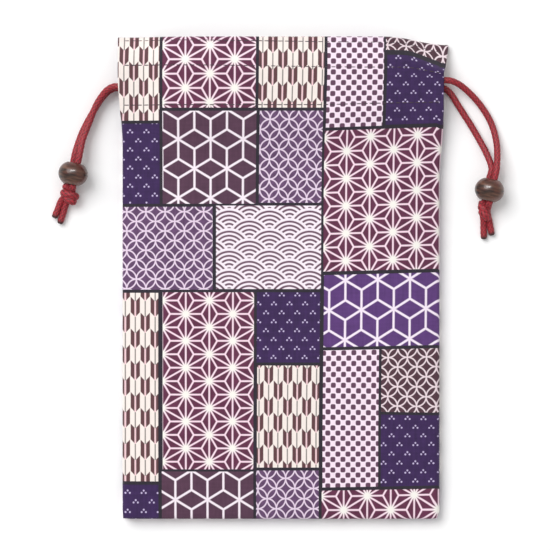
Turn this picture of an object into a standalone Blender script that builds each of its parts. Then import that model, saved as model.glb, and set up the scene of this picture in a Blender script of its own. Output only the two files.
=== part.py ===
"""Drawstring bag of printed cotton, lying flat on its back, with two cords, their knots and two wooden beads.

Sizes are millimetres, and the objects are in metres: +Z up, +Y towards the bag's mouth, +X to the right.
The origin is under the middle of the bag's own box, on the surface that the bag lies on. The sizes and places
below count x from the middle of the bag's body, and one empty carries all of it to the origin.
"""

import math

import bmesh
import bpy
from mathutils import Matrix, Vector

MM = 0.001

# The bag, flat
BAG_WIDTH = 150.0
BAG_HEIGHT = 228.0
CLOTH = 0.6
GAP = 0.3
STITCHED_GAP = 0.1

# Side and bottom seams: the cloth folds over the edge, and its allowance lies inside
SEAM_HEIGHT = 3.3
FOLD_REACH = 2.2
SEAM_ALLOWANCE = 6.0
CORNER_TUCK = 0.85

# How far the front stands off the surface, at the seams and at the middle
SIDE_RISE = 7.4
CROWN_RISE = 11.6
CROWN_BREADTH = 5.0

# The top hem: a frill above a cord channel, whose inner layer stops short of the side slits
FRILL = 13.6
CHANNEL = 18.8
HEM_TAIL = 2.0
CORD_PLAY = 0.3
CHANNEL_RAMP = 3.4
SLIT_NOTCH = 6.0
MOUTH_CLEAR = 5.2
MOUTH_RUN_OUT = 68.0
MOUTH_BREADTH = 4.0
LIP_END_HEIGHT = 1.9
HEM_RISE_LENGTH = 26.0

# The sides widen towards the slits, and the right corner of the top edge hangs a little
SLIT_RUN_OUT = 9.0
WIDENING = {-1: (62.0, 97.0), 1: (44.5, 74.0)}
FLAP_FLARE = {-1: 2.1, 1: 1.9}
CORNER_FLARE = {-1: 0.2, 1: 2.4}
CORNER_DROOP = 3.4
CORNER_WIDTH = 29.0

# The cords
CORD = 3.2
CORD_STEP = 2.6
RIGHT_CORD_DROP = 20.5
CORD_PITCH = 4.0
BACK_CORD_DROP = 3.6
TURN_START = 0.6

# The beads
BEAD_WIDTH = 14.0
BEAD_LENGTH = 10.3
BEAD_BORE = 7.0
BEAD_LIP = 0.25
PAIR_PITCH = 3.3
PAIR_ROLL = 45.0
BEAD_TRAVEL = 5.0
BEAD_PLACE = {-1: (-98.3, 49.3), 1: (98.6, 41.6)}
BEAD_TURN = {-1: 12.0, 1: 12.0}

# The knots, each with two tails that lie on the surface
KNOT_WIDTH = {-1: 9.6, 1: 7.6}
KNOT_LENGTH = 9.4
KNOT_HEIGHT = 8.2
TAIL_ENDS = {-1: ((-107.6, 28.5), (-105.0, 25.7)), 1: ((96.3, 18.4), (100.1, 20.2))}
TAIL_STARTS = {-1: (-2.5, 0.0), 1: (-0.7, 1.6)}

# How finely the cloth and the round pieces are divided
COLUMNS = 14
BODY_ROWS = 13
FOLD_STEPS = 4
BEAD_STEPS = 28
BEAD_PROFILE = 10
KNOT_STEPS = 16
CORD_RESOLUTION = 2

# Places that follow from the sizes
HALF = BAG_WIDTH / 2
TOP = BAG_HEIGHT / 2
UPPER_STITCH = TOP - FRILL
LOWER_STITCH = UPPER_STITCH - CHANNEL
HEM_END = LOWER_STITCH - HEM_TAIL
SLIT_FOOT = LOWER_STITCH - SLIT_RUN_OUT
FLAT_HALF = HALF - FOLD_REACH
FLAT_FOOT = -TOP + FOLD_REACH
NOTCH_X = FLAT_HALF - SLIT_NOTCH
FOLD_OUT = FOLD_REACH - CLOTH / 2
LAYER_STEP = CLOTH + STITCHED_GAP
TOP_FOLD = TOP - CLOTH / math.sqrt(2)
CHANNEL_ROOM = CORD + 2 * CORD_PLAY
HEM_THICKNESS = 2 * CLOTH + CHANNEL_ROOM
SLIT_HEIGHT = HEM_THICKNESS + GAP
MOUTH_HEIGHT = HEM_THICKNESS + MOUTH_CLEAR
BACK_CORD_HEIGHT = CLOTH + CHANNEL_ROOM / 2
FRONT_CORD_Y = {1: TOP - RIGHT_CORD_DROP, -1: TOP - RIGHT_CORD_DROP - CORD_PITCH}
BACK_CORD_Y = {side: y - BACK_CORD_DROP for side, y in FRONT_CORD_Y.items()}
CENTRE_X = (FLAP_FLARE[1] + CORNER_FLARE[1] - FLAP_FLARE[-1] - CORNER_FLARE[-1]) / 2


def ease(t):
    """A smooth step from 0 to 1."""
    t = min(max(t, 0.0), 1.0)
    return t * t * (3 - 2 * t)


def mix(a, b, share):
    return a + (b - a) * share


def mouth_share(x):
    """How open the mouth is at x: 1 at the middle, 0 at the slits."""
    return ease(1 - min(abs(x) / MOUTH_RUN_OUT, 1) ** MOUTH_BREADTH)


def front_hem_top(x):
    return HEM_THICKNESS + mix(SLIT_HEIGHT, MOUTH_HEIGHT, mouth_share(x))


def front_lip_top(x):
    return CLOTH + LAYER_STEP + mix(LIP_END_HEIGHT, MOUTH_HEIGHT, mouth_share(x))


def front_top(x, y):
    """Height of the front's outer face over the flat part of the bag."""
    across = 1 - min(abs(x) / FLAT_HALF, 1) ** CROWN_BREADTH
    along = 1 - min(max(-y, 0) / -FLAT_FOOT, 1) ** CROWN_BREADTH
    body = mix(SIDE_RISE, CROWN_RISE, across * along)
    if y <= UPPER_STITCH:
        return mix(body, front_hem_top(x), ease((y - HEM_END + HEM_RISE_LENGTH) / HEM_RISE_LENGTH))
    return mix(front_hem_top(x), front_lip_top(x), ease((y - UPPER_STITCH) / FRILL))


def channel_bulge(y):
    """How far the hem's two layers stand apart at y, more than where they are stitched."""
    share = ease((y - LOWER_STITCH) / CHANNEL_RAMP) * ease((UPPER_STITCH - y) / CHANNEL_RAMP)
    return (CHANNEL_ROOM - STITCHED_GAP) * share


class Cloth:
    """One panel: where the middle of its cloth lies, outside, in the hem and in the seam allowances."""

    def __init__(self, facing):
        self.facing = facing

    def outer(self, x, y):
        return front_top(x, y) - CLOTH / 2 if self.facing > 0 else CLOTH / 2

    def inner(self, x, y):
        return self.outer(x, y) - self.facing * (LAYER_STEP + channel_bulge(y))

    def allowance(self):
        return SEAM_HEIGHT + self.facing * (CLOTH + GAP) / 2

    def hem_fold(self, x):
        return self.outer(x, TOP) - self.facing * LAYER_STEP / 2

    def fold(self, x, y, step):
        """Reach past the flat part and height of the cloth, so many steps round a seam's fold."""
        turn = math.pi * step / FOLD_STEPS
        high, low = self.outer(x, y), self.allowance()
        if step > FOLD_STEPS:
            return -SEAM_ALLOWANCE, low
        return FOLD_OUT * math.sin(turn), mix(high, low, (1 - math.cos(turn)) / 2)


def side_flare(side, y):
    """How far the side stands out past its straight edge on the way up to the slit and the top corner."""
    low, high = WIDENING[side]
    widening = ease((y - low) / (high - low))
    return FLAP_FLARE[side] * widening + CORNER_FLARE[side] * ease((y - UPPER_STITCH) / FRILL)


def settle_corner(x, y, side):
    """The frill's right corner hangs a little lower than the rest of the top edge."""
    if side < 0 or y <= UPPER_STITCH:
        return y
    across = ease((x - (HALF + FLAP_FLARE[1] - CORNER_WIDTH)) / CORNER_WIDTH)
    return y - CORNER_DROOP * across * (y - UPPER_STITCH) / FRILL


def panel_rows():
    """The rows of cloth from the foot to the top edge, then down inside to the hem's end."""
    body = [mix(FLAT_FOOT, HEM_END, row / BODY_ROWS) for row in range(BODY_ROWS)]
    body = sorted(body[:-1] + [SLIT_FOOT])
    ramp = CHANNEL_RAMP / 2
    hem = [HEM_END, LOWER_STITCH, LOWER_STITCH + ramp, LOWER_STITCH + 2 * ramp]
    hem += [mix(LOWER_STITCH + 2 * ramp, UPPER_STITCH - 2 * ramp, share) for share in (1 / 3, 2 / 3)]
    hem += [UPPER_STITCH - 2 * ramp, UPPER_STITCH - ramp, UPPER_STITCH]
    frill = [UPPER_STITCH + FRILL * share for share in (0.25, 0.5, 0.75)] + [TOP_FOLD - LAYER_STEP / 2]
    outside = [(y, "outer") for y in body + hem + frill]
    inside = [(y, "inner") for y in reversed(hem + frill)]
    return outside + [(TOP_FOLD, "edge")] + inside


def panel_columns():
    middle = [mix(-NOTCH_X, NOTCH_X, column / COLUMNS) for column in range(COLUMNS + 1)]
    return [-FLAT_HALF] + middle + [FLAT_HALF]


def panel_mesh(cloth):
    """The middle surface of one panel: flat part, folded seams with their allowances, and folded hem."""
    rows, columns = panel_rows(), panel_columns()
    last = len(columns) - 1
    slit_row = rows.index((SLIT_FOOT, "outer"))
    frill_end = rows.index((UPPER_STITCH, "inner"))
    flap_steps = FOLD_STEPS // 2
    allowance_step = FOLD_STEPS + 1
    mesh = bmesh.new()
    known = {}

    def height(x, y, layer):
        if layer == "edge":
            return cloth.hem_fold(x)
        return cloth.outer(x, y) if layer == "outer" else cloth.inner(x, y)

    def at(x, y, z):
        return mesh.verts.new(Vector((x, y, z)) * MM)

    def flat_point(column, row):
        x = columns[column]
        y, layer = rows[row]
        return x, settle_corner(x, y, 1), height(x, y, layer)

    def side_point(side, step, row):
        x = side * FLAT_HALF
        y, layer = rows[row]
        reach, low = cloth.fold(x, y, step)
        share = ease((y - SLIT_FOOT) / SLIT_RUN_OUT) if layer == "outer" else 1.0
        part_way = step / flap_steps
        flare = side_flare(side, y)
        x += side * mix(reach + flare * min(part_way, 1), (FOLD_REACH + flare) * part_way, share)
        return x, settle_corner(x, y, side), mix(low, height(x, y, layer), share)

    def foot_point(column, step):
        x = columns[column]
        reach, low = cloth.fold(x, FLAT_FOOT, step)
        return x, FLAT_FOOT - reach, low

    def corner_point(side, step):
        reach, low = cloth.fold(side * FLAT_HALF, FLAT_FOOT, step)
        if reach > 0:
            reach *= CORNER_TUCK
        return side * (FLAT_HALF + reach), FLAT_FOOT - reach, low

    def vertex(column, row):
        side = -1 if column <= 0 else 1
        past = max(-column, column - last, 0)
        below = max(-row, 0)
        if column in (0, last) and below:
            past, row = below, 0
        key = (side, past, row) if past else (column, row)
        if key not in known:
            if past and row == 0:
                place = corner_point(side, past)
            elif past:
                place = side_point(side, past, row)
            elif below:
                place = foot_point(column, below)
            else:
                place = flat_point(column, row)
            known[key] = at(*place)
        return known[key]

    def present(column, row):
        """Whether there is cloth between this column and the next, and this row and the next."""
        past = max(-column, column + 1 - last, 0)
        if row < 0:
            return past == 0
        if past > flap_steps:
            return row < slit_row
        if past:
            return row < frill_end
        return row < frill_end or 0 < column < last - 1

    for column in range(-allowance_step, last + allowance_step):
        for row in range(-allowance_step, len(rows) - 1):
            if present(column, row):
                corners = ((column, row), (column + 1, row), (column + 1, row + 1), (column, row + 1))
                mesh.faces.new([vertex(*corner) for corner in corners])
    bmesh.ops.recalc_face_normals(mesh, faces=mesh.faces)
    return mesh


def finish_object(name, mesh, carrier, material, place=(0, 0, 0), turn=0.0):
    data = bpy.data.meshes.new(name)
    mesh.to_mesh(data)
    mesh.free()
    data.shade_smooth()
    data.set_sharp_from_angle(angle=math.radians(50))
    thing = bpy.data.objects.new(name, data)
    return set_down(thing, carrier, material, place, turn)


def set_down(thing, carrier, material, place=(0, 0, 0), turn=0.0):
    thing.data.materials.append(material)
    bpy.context.scene.collection.objects.link(thing)
    thing.parent = carrier
    thing.location = Vector(place) * MM
    thing.rotation_euler = (0, 0, turn)
    return thing


def make_material(name, colour, roughness, metallic=0.0):
    material = bpy.data.materials.new(name)
    material.use_nodes = True
    shader = material.node_tree.nodes["Principled BSDF"]
    shader.inputs["Base Color"].default_value = (*colour, 1.0)
    shader.inputs["Roughness"].default_value = roughness
    shader.inputs["Metallic"].default_value = metallic
    return material


def make_panel(name, facing, carrier, material):
    panel = finish_object(name, panel_mesh(Cloth(facing)), carrier, material)
    thickness = panel.modifiers.new("cloth thickness", "SOLIDIFY")
    thickness.thickness = CLOTH * MM
    thickness.offset = 0.0
    thickness.use_even_offset = True
    return panel


def bead_axis(side):
    """The bead's hole runs from its knot towards the bag: its direction, and the direction across it."""
    turn = math.radians(BEAD_TURN[side])
    return Vector((math.sin(turn), math.cos(turn), 0)), Vector((math.cos(turn), -math.sin(turn), 0))


def bead_point(side, along, strand):
    """A point of one of the two strands through a bead, at a distance from the bead's middle."""
    axis, across = bead_axis(side)
    roll = math.radians(PAIR_ROLL)
    offset = across * math.cos(roll) + Vector((0, 0, math.sin(roll)))
    middle = Vector((*BEAD_PLACE[side], BEAD_WIDTH / 2))
    return middle + axis * along + offset * (strand * PAIR_PITCH / 2)


def make_bead(name, side, carrier, material):
    """A turned bead: round outside, cut level round a straight hole, lying with the hole level."""
    bore, radius, half = BEAD_BORE / 2, BEAD_WIDTH / 2, BEAD_LENGTH / 2
    outline = [Vector((bore, -half, 0)) * MM]
    widest = math.acos((bore + BEAD_LIP) / radius)
    for step in range(BEAD_PROFILE + 1):
        angle = mix(-widest, widest, step / BEAD_PROFILE)
        along = half * math.sin(angle) / math.sin(widest)
        outline.append(Vector((radius * math.cos(angle), along, 0)) * MM)
    outline.append(Vector((bore, half, 0)) * MM)
    mesh = bmesh.new()
    loop = [mesh.verts.new(point) for point in outline]
    edges = [mesh.edges.new((loop[i], loop[i - 1])) for i in range(len(loop))]
    bmesh.ops.spin(mesh, geom=loop + edges, axis=(0, 1, 0), cent=(0, 0, 0), angle=2 * math.pi,
                   steps=BEAD_STEPS, use_merge=True)
    bmesh.ops.remove_doubles(mesh, verts=mesh.verts, dist=GAP * MM / 100)
    bmesh.ops.recalc_face_normals(mesh, faces=mesh.faces)
    place = (*BEAD_PLACE[side], radius)
    return finish_object(name, mesh, carrier, material, place, -math.radians(BEAD_TURN[side]))


def make_knot(name, side, carrier, material):
    """The outer form of an overhand knot in both strands, with the two cut tails."""
    axis, across = bead_axis(side)
    reach = BEAD_LENGTH / 2 + GAP + KNOT_LENGTH / 2
    middle = Vector((*BEAD_PLACE[side], 0)) - axis * reach
    middle.z = KNOT_HEIGHT / 2
    mesh = bmesh.new()
    bmesh.ops.create_uvsphere(mesh, u_segments=KNOT_STEPS, v_segments=KNOT_STEPS // 2, radius=MM / 2)
    size = Matrix.Diagonal((KNOT_WIDTH[side], KNOT_LENGTH, KNOT_HEIGHT, 1))
    bmesh.ops.transform(mesh, matrix=size, verts=mesh.verts)
    knot = finish_object(name, mesh, carrier, material, middle, -math.radians(BEAD_TURN[side]))
    for number, end in enumerate(TAIL_ENDS[side]):
        tail = bmesh.new()
        start = middle + across * TAIL_STARTS[side][number]
        start.z = CORD * 0.75
        stop = Vector((*end, CORD / 2))
        length = (stop - start).length
        bmesh.ops.create_cone(tail, cap_ends=True, segments=KNOT_STEPS // 2, depth=length * MM,
                              radius1=CORD * MM / 2, radius2=CORD * MM / 2)
        lean = (stop - start).to_track_quat("Z", "Y").to_matrix().to_4x4()
        bmesh.ops.transform(tail, matrix=Matrix.Translation((start + stop) / 2 * MM) @ lean, verts=tail.verts)
        helper = finish_object(f"{name}_tail_{number + 1}", tail, carrier, material)
        helper.hide_render = True
        helper.display_type = "WIRE"
        joined = knot.modifiers.new(f"tail {number + 1}", "BOOLEAN")
        joined.operation = "UNION"
        joined.object = helper
    return knot


# Routes of the free strands, from the bag's side to the straight run into the bead: across, along, height
FREE_FRONT = {
    -1: [(-73.2, 89.7, 7.8), (-78.3, 90.6, 7.6), (-81.9, 89.2, 6.6), (-84.8, 86.1, 5.6), (-87.2, 82.3, 5.1),
         (-89.0, 78.4, 5.0), (-90.5, 74.3, 5.0), (-92.2, 70.0, 5.4), (-93.8, 65.4, 6.6)],
    1: [(79.3, 93.4, 7.2), (84.0, 91.8, 5.6), (89.0, 88.0, 3.6), (93.6, 83.2, 2.2), (97.4, 77.9, 1.7),
        (100.2, 72.2, 1.8), (101.8, 66.3, 2.8), (102.4, 60.4, 4.9)],
}
FREE_BACK = {
    -1: [(-71.2, 87.1, 2.4), (-74.8, 89.2, 2.4), (-78.3, 90.0, 2.3), (-81.8, 88.6, 1.9), (-84.8, 85.5, 1.7),
         (-87.3, 81.8, 1.7), (-89.8, 77.6, 1.7), (-92.2, 73.3, 1.9), (-94.3, 68.9, 2.6), (-95.9, 64.3, 4.1)],
    1: [(76.6, 90.1, 2.3), (80.4, 87.5, 1.9), (83.6, 82.6, 1.7), (87.3, 76.8, 1.7), (91.0, 70.9, 1.7),
        (94.3, 65.1, 2.1), (97.2, 59.4, 3.6)],
}


def front_cord_height(x):
    return front_hem_top(x) - CLOTH - CHANNEL_ROOM / 2


def channel_points(side):
    """The cord inside the front channel, round the far slit, and back through the back channel."""
    front_y, back_y = FRONT_CORD_Y[side], BACK_CORD_Y[side]
    far = -side
    bend_x = far * (NOTCH_X + TURN_START)
    spread = [share * (NOTCH_X + TURN_START) for share in (-1, -0.75, -0.5, -0.25, 0, 0.25, 0.5, 0.75, 1)]
    front = [Vector((far * x, front_y, front_cord_height(x))) for x in spread]
    high = Vector((bend_x, front_y, front_cord_height(bend_x)))
    low = Vector((bend_x, back_y, BACK_CORD_HEIGHT))
    middle, arm = (high + low) / 2, (high - low) / 2
    turn = []
    for step in (1, 2, 3, 4, 5):
        angle = math.pi * step / 6
        turn.append(middle + arm * math.cos(angle) + Vector((far * arm.length * math.sin(angle), 0, 0)))
    back = [Vector((far * x, back_y, BACK_CORD_HEIGHT)) for x in reversed(spread)]
    return front + turn + back


def cord_route(side):
    """The whole cord of one side, from one end at its knot, through the bag, to the other end."""
    start = -BEAD_LENGTH / 2
    clear = BEAD_LENGTH / 2 + BEAD_TRAVEL + GAP
    straight = (start, start / 2, 0, -start / 2, -start, clear)
    into = [bead_point(side, along, 1) for along in straight]
    out = [bead_point(side, along, -1) for along in straight]
    front = [Vector(point) for point in FREE_FRONT[side]]
    back = [Vector(point) for point in FREE_BACK[side]]
    return into + front[::-1] + channel_points(side) + back + out[::-1]


def smooth_route(points):
    """Points read from a smooth curve through the route's own points, closer together where those are."""
    spots = [points[0] * 2 - points[1]] + points + [points[-1] * 2 - points[-2]]
    route = []
    for before, here, there, after in zip(spots, spots[1:], spots[2:], spots[3:]):
        pieces = max(1, round((there - here).length / (CORD_STEP * CORD)))
        span = (there - here).length
        leave = (there - before).normalized() * span
        arrive = (after - here).normalized() * span
        for piece in range(pieces):
            t = piece / pieces
            a, b = 2 * t ** 3 - 3 * t ** 2 + 1, t ** 3 - 2 * t ** 2 + t
            c, d = -2 * t ** 3 + 3 * t ** 2, t ** 3 - t ** 2
            route.append(here * a + leave * b + there * c + arrive * d)
    return route + [points[-1]]


def make_cord(name, side, carrier, material):
    route = smooth_route(cord_route(side))
    curve = bpy.data.curves.new(name, "CURVE")
    curve.dimensions = "3D"
    curve.bevel_depth = CORD / 2 * MM
    curve.bevel_resolution = CORD_RESOLUTION
    curve.use_fill_caps = True
    spline = curve.splines.new("POLY")
    spline.points.add(len(route) - 1)
    for point, place in zip(spline.points, route):
        point.co = (*(place * MM), 1)
    return set_down(bpy.data.objects.new(name, curve), carrier, material)


def main():
    for thing in list(bpy.data.objects):
        bpy.data.objects.remove(thing, do_unlink=True)
    bag = bpy.data.objects.new("bag", None)
    bpy.context.scene.collection.objects.link(bag)
    bag.location = (-CENTRE_X * MM, 0, 0)

    make_panel("front_panel", 1, bag, make_material("printed front", (0.18, 0.07, 0.20), 0.9))
    make_panel("back_panel", -1, bag, make_material("printed back", (0.16, 0.06, 0.19), 0.9))
    for side, word in ((-1, "left"), (1, "right")):
        make_cord(f"drawstring_{word}", side, bag, make_material(f"{word} cord", (0.37, 0.01, 0.03), 0.7))
        make_bead(f"bead_{word}", side, bag, make_material(f"{word} bead wood", (0.08, 0.015, 0.01), 0.25))
        make_knot(f"knot_{word}", side, bag, make_material(f"{word} knot cord", (0.33, 0.01, 0.03), 0.7))


main()
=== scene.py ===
"""Looks of a drawstring bag of printed cotton, lying flat, seen from straight above."""

from math import acos, ceil, copysign, cos, pi, radians, sin, sqrt, tan, tanh

import bmesh
import bpy
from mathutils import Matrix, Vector, noise


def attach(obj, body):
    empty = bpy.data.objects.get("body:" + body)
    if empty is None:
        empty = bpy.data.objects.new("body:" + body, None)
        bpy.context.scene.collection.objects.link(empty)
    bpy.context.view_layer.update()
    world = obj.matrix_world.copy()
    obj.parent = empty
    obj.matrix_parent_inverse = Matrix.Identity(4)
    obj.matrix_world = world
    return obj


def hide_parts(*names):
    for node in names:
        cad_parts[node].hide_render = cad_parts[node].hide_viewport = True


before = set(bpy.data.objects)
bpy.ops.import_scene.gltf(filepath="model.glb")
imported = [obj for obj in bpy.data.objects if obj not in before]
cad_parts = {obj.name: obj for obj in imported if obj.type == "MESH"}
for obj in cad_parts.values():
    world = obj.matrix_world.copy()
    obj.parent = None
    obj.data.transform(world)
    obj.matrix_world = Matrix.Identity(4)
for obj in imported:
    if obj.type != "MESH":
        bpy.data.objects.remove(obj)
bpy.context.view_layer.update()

MM = 0.001

# The photograph's scale, its size in pixels, and where the middle of the bag's body is in it
PIXEL_MM = 0.4732
PHOTO_SIZE = 550
MIDDLE_PX, MIDDLE_PY = 281.0, 278.0

# The bag, in millimetres, as the solids have it
BAG_WIDTH = 150.0
BAG_HEIGHT = 228.0
CLOTH = 0.6
GAP = 0.3
STITCHED_GAP = 0.1
SEAM_HEIGHT = 3.3
FOLD_REACH = 2.2
SEAM_ALLOWANCE = 6.0
SIDE_RISE = 7.4
CROWN_RISE = 11.6
CROWN_BREADTH = 5.0
FRILL = 13.6
EDGE_INSET = 1.6
CHANNEL = 18.8
HEM_TAIL = 2.0
CORD_PLAY = 0.3
CHANNEL_RAMP = 3.4
SLIT_NOTCH = 6.0
MOUTH_CLEAR = 5.2
MOUTH_RUN_OUT = 68.0
MOUTH_BREADTH = 4.0
LIP_END_HEIGHT = 1.9
HEM_RISE_LENGTH = 26.0
SLIT_RUN_OUT = 9.0
WIDENING = {-1: (62.0, 97.0), 1: (44.5, 74.0)}
FLAP_FLARE = {-1: 2.1, 1: 1.9}
CORNER_FLARE = {-1: 0.2, 1: 2.4}
CORNER_DROOP = 3.4
CORNER_WIDTH = 29.0
CORD = 3.2
RIGHT_CORD_DROP = 20.5
CORD_PITCH = 4.0
BACK_CORD_DROP = 3.6
TURN_START = 0.6
BEAD_WIDTH = 14.0
BEAD_LENGTH = 10.3
BEAD_BORE = 7.0
BEAD_LIP = 0.25
PAIR_PITCH = 3.3
PAIR_ROLL = 45.0
BEAD_TRAVEL = 5.0
BEAD_PLACE = {-1: (-98.3, 49.3), 1: (98.6, 41.6)}
BEAD_TURN = 12.0
KNOT_LENGTH = 9.4
KNOT_HEIGHT = 8.2
TAIL_ENDS = {-1: ((-107.6, 28.5), (-105.0, 25.7)), 1: ((96.3, 18.4), (100.1, 20.2))}
SIDES = {-1: "left", 1: "right"}

# How finely the cloth is divided, and how its folds and corners lie
CELL = 1.75
CLOSEST_LINES = 0.25
FOLD_STEPS = 8
FOLD_CLOTH = 5.5
ALLOWANCE_STEPS = 2
CORNER_TUCK = 0.85
MITRE_REACH = 24.0

# Places that follow from the sizes
HALF = BAG_WIDTH / 2
TOP = BAG_HEIGHT / 2
UPPER_STITCH = TOP - FRILL
LOWER_STITCH = UPPER_STITCH - CHANNEL
EDGE_STITCH = TOP - EDGE_INSET
HEM_END = LOWER_STITCH - HEM_TAIL
SLIT_FOOT = LOWER_STITCH - SLIT_RUN_OUT
FLAT_HALF = HALF - FOLD_REACH
FLAT_FOOT = -TOP + FOLD_REACH
NOTCH_X = FLAT_HALF - SLIT_NOTCH
FOLD_OUT = FOLD_REACH - CLOTH / 2
LAYER_STEP = CLOTH + STITCHED_GAP
TOP_FOLD = TOP - CLOTH / sqrt(2)
CHANNEL_ROOM = CORD + 2 * CORD_PLAY
HEM_THICKNESS = 2 * CLOTH + CHANNEL_ROOM
SLIT_HEIGHT = HEM_THICKNESS + GAP
MOUTH_HEIGHT = HEM_THICKNESS + MOUTH_CLEAR
BACK_CORD_HEIGHT = CLOTH + CHANNEL_ROOM / 2
FRONT_CORD_Y = {1: TOP - RIGHT_CORD_DROP, -1: TOP - RIGHT_CORD_DROP - CORD_PITCH}
BACK_CORD_Y = {side: y - BACK_CORD_DROP for side, y in FRONT_CORD_Y.items()}
CENTRE_X = (FLAP_FLARE[1] + CORNER_FLARE[1] - FLAP_FLARE[-1] - CORNER_FLARE[-1]) / 2


def ease(t):
    """A smooth step from 0 to 1."""
    t = min(max(t, 0.0), 1.0)
    return t * t * (3 - 2 * t)


def mix(a, b, share):
    return a + (b - a) * share


def hump(distance, width):
    """1 at distance 0, falling smoothly to 0 at the width."""
    return 1 - ease(abs(distance) / width)


def to_world(point):
    """From millimetres about the body's middle to metres in the frame."""
    return (Vector(point) - Vector((CENTRE_X, 0, 0))) * MM


def add_object(name, data):
    """An object in the scene, of its own data."""
    thing = bpy.data.objects.new(name, data)
    bpy.context.scene.collection.objects.link(thing)
    return thing


def add_mesh(name, mesh, materials):
    """An object made from a finished bmesh."""
    data = bpy.data.meshes.new(name)
    mesh.to_mesh(data)
    mesh.free()
    for material in materials:
        data.materials.append(material)
    return add_object(name, data)


def add_tube(mesh, rings):
    """The faces of a tube through rings of vertices, closed at both ends."""
    for here, there in zip(rings, rings[1:]):
        for step in range(len(here)):
            after = (step + 1) % len(here)
            mesh.faces.new((here[step], here[after], there[after], there[step])).smooth = True
    mesh.faces.new(rings[0][::-1])
    mesh.faces.new(rings[-1])


# Materials

LIT_TONE = 0.93


def linear(hex_colour):
    """A colour of a screen as the shader's linear values, a little darker because it is well lit."""
    parts = [int(hex_colour[i:i + 2], 16) / 255 for i in (1, 3, 5)]
    values = [p / 12.92 if p <= 0.04045 else ((p + 0.055) / 1.055) ** 2.4 for p in parts]
    return tuple(value * LIT_TONE for value in values) + (1.0,)


def toned(colour, factor):
    """A linear colour made darker or lighter."""
    return tuple(min(part * factor, 1.0) for part in colour[:3]) + (1.0,)


class Value:
    """A number that the shader works out at every point of a surface."""

    def __init__(self, tree, socket):
        self.tree = tree
        self.socket = socket

    def math(self, operation, *others, clamp=False):
        node = self.tree.nodes.new("ShaderNodeMath")
        node.operation = operation
        node.use_clamp = clamp
        for slot, value in zip(node.inputs, (self, *others)):
            if isinstance(value, Value):
                self.tree.links.new(value.socket, slot)
            else:
                slot.default_value = value
        return Value(self.tree, node.outputs[0])

    def __add__(self, other):
        return self.math("ADD", other)

    def __sub__(self, other):
        return self.math("SUBTRACT", other)

    def __mul__(self, other):
        return self.math("MULTIPLY", other)

    def __abs__(self):
        return self.math("ABSOLUTE")

    def smaller(self, other):
        return self.math("MINIMUM", other)

    def larger(self, other):
        return self.math("MAXIMUM", other)

    def fold(self, period):
        """Distance to the nearest whole number of periods."""
        return self.math("PINGPONG", period / 2)

    def within(self, limit, softness):
        """1 where this is below the limit, 0 above it, over a soft edge."""
        return self.math("MULTIPLY_ADD", -1 / softness, limit / softness + 0.5, clamp=True)

    def clamped(self):
        return self.math("ADD", 0.0, clamp=True)

    def contrast(self, floor, gain):
        """0 up to the floor, then rising as many times faster than this, to 1 at most."""
        return ((self - floor) * gain).clamped()


def length(a, b):
    return (a * a + b * b).math("SQRT")


# The sockets of a node that mixes colours
MIX_SHARE, MIX_FIRST, MIX_SECOND, MIX_RESULT = 0, 6, 7, 2


class Surface:
    """A material under construction, with its nodes and its shader."""

    def __init__(self, name, roughness, gloss=0.5, sheen=0.0):
        self.material = bpy.data.materials.new(name)
        self.material.use_nodes = True
        self.tree = self.material.node_tree
        self.shader = self.tree.nodes["Principled BSDF"]
        self.shader.inputs["Roughness"].default_value = roughness
        self.shader.inputs["Specular IOR Level"].default_value = gloss
        self.shader.inputs["Sheen Weight"].default_value = sheen

    def give(self, slot, value):
        """Sets a node's input to a plain value, or links it to another node's output."""
        if isinstance(value, Value):
            value = value.socket
        if isinstance(value, bpy.types.NodeSocket):
            self.tree.links.new(value, slot)
        else:
            slot.default_value = value

    def node(self, kind, **inputs):
        node = self.tree.nodes.new("ShaderNode" + kind)
        for name, value in inputs.items():
            self.give(node.inputs[name], value)
        return node

    def coordinates(self, layer):
        source = self.node("UVMap")
        source.uv_map = layer
        split = self.node("SeparateXYZ", Vector=source.outputs[0])
        return Value(self.tree, split.outputs[0]), Value(self.tree, split.outputs[1])

    def stored(self, name):
        """A number that the mesh holds at each of its points."""
        node = self.node("Attribute")
        node.attribute_name = name
        return Value(self.tree, node.outputs["Fac"])

    def mottling(self, scale, detail=3.0, stretch=(1, 1, 1)):
        """Noise about 0.5 that stays with the object."""
        where = self.node("TexCoord")
        spread = self.node("Mapping", Vector=where.outputs["Object"], Scale=stretch)
        texture = self.node("TexNoise", Vector=spread.outputs[0], Scale=scale, Detail=detail)
        return Value(self.tree, texture.outputs["Fac"])

    def blend(self, first, second, share):
        """A colour between two colours, each given as a value or a socket."""
        node = self.node("Mix")
        node.data_type = "RGBA"
        for slot, value in ((MIX_SHARE, share), (MIX_FIRST, first), (MIX_SECOND, second)):
            self.give(node.inputs[slot], value)
        return node.outputs[MIX_RESULT]

    def paint(self, colour):
        self.tree.links.new(colour, self.shader.inputs["Base Color"])
        return self.material

    def bump(self, height, distance, strength):
        node = self.node("Bump", Height=height, Distance=distance, Strength=strength)
        self.tree.links.new(node.outputs[0], self.shader.inputs["Normal"])


CLOTH_ROUGHNESS = 0.88
CLOTH_GLOSS = 0.25
CLOTH_SHEEN = 0.12
THREAD_MM = 0.42
WEAVE_DEPTH = 0.00006
WEAVE_STRENGTH = 0.5
STREAK_SCALE = 900.0
STREAK_STRETCH = 0.07
CLOUD_SCALE = 240.0


def weave(surface):
    """Plain weave: threads that pass over and under each other, at the cloth's own scale."""
    across, along = (place * (pi / THREAD_MM) for place in surface.coordinates("cloth"))
    over = across.math("SINE") * along.math("SINE")
    surface.bump(over, WEAVE_DEPTH, WEAVE_STRENGTH)
    return over


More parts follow.
